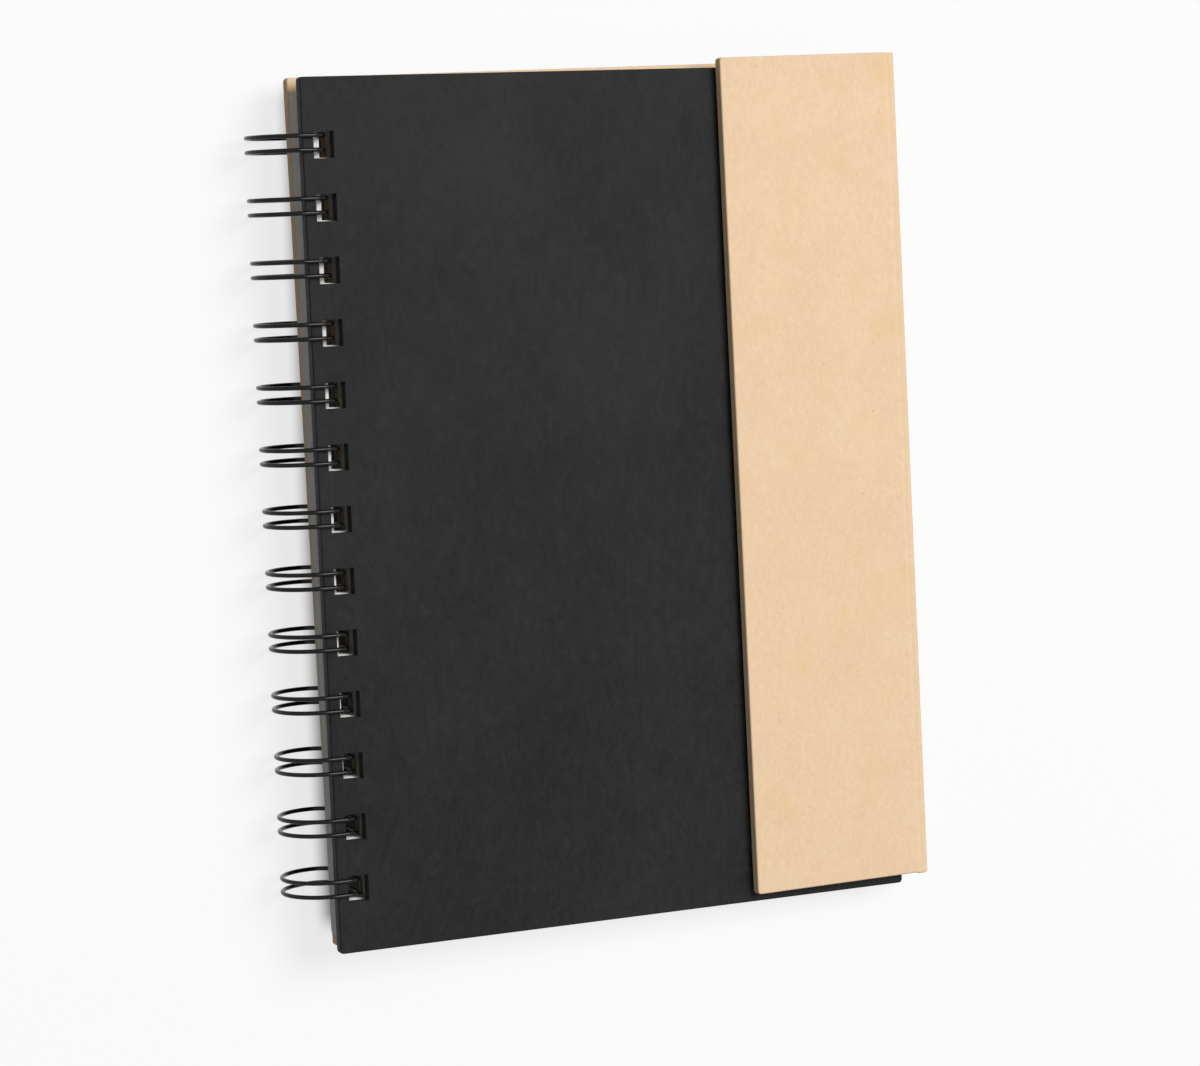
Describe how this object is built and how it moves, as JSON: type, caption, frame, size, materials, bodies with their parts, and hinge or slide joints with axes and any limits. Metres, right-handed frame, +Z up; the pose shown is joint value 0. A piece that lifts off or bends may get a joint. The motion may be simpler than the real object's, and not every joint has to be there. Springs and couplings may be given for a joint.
{
  "type": "spiral notebook",
  "caption": "Wire-bound hardcover notebook lying closed, with a black front cover and a kraft case whose flap folds over the fore edge.",
  "frame": {"origin": "centre of the bounding box at the surface the notebook lies on", "axes": "+X from the wire binding to the fore edge, +Y along the spine to the top of the notebook, +Z up"},
  "size_m": [0.1467, 0.1818, 0.0189],
  "materials": {
    "black_wire": "glossy black coated steel wire",
    "page_paper": "uncoated white pages",
    "greyboard": "raw greyboard",
    "black_board": "board dyed black all through",
    "black_cover_paper": "matt black embossed covering paper",
    "lining_paper": "plain lining paper",
    "kraft_paper": "smooth kraft paper with fine fibres",
    "plate_steel": "plain steel plate",
    "magnet": "plated magnet disc"
  },
  "bodies": {
    "book": {"cover_plates": "plate_steel", "front_board": "black_board", "front_cover_paper": "black_cover_paper", "front_lining": "lining_paper", "page_block": "page_paper", "wire_binding": "black_wire", "back_board": "greyboard", "back_cover_paper": "kraft_paper", "back_lining": "lining_paper"},
    "fore_edge_panel": {"fore_edge_board": "greyboard", "fore_edge_paper": "kraft_paper", "fore_edge_lining": "lining_paper"},
    "flap": {"flap_board": "greyboard", "flap_paper": "kraft_paper", "flap_lining": "lining_paper", "flap_magnets": "magnet"}
  },
  "joints": [
    {"name": "back_crease", "type": "hinge", "parent": "book", "child": "fore_edge_panel", "pos_m": [0.07156, -0.08891, 0.00111], "axis": [-0.0105, 0.9999, 0.0006], "range_deg": [0, 90]},
    {"name": "flap_crease", "type": "hinge", "parent": "fore_edge_panel", "child": "flap", "pos_m": [0.07216, -0.08851, 0.0115], "axis": [-0.0105, 0.9999, 0.0006], "range_deg": [0, 90]}
  ]
}
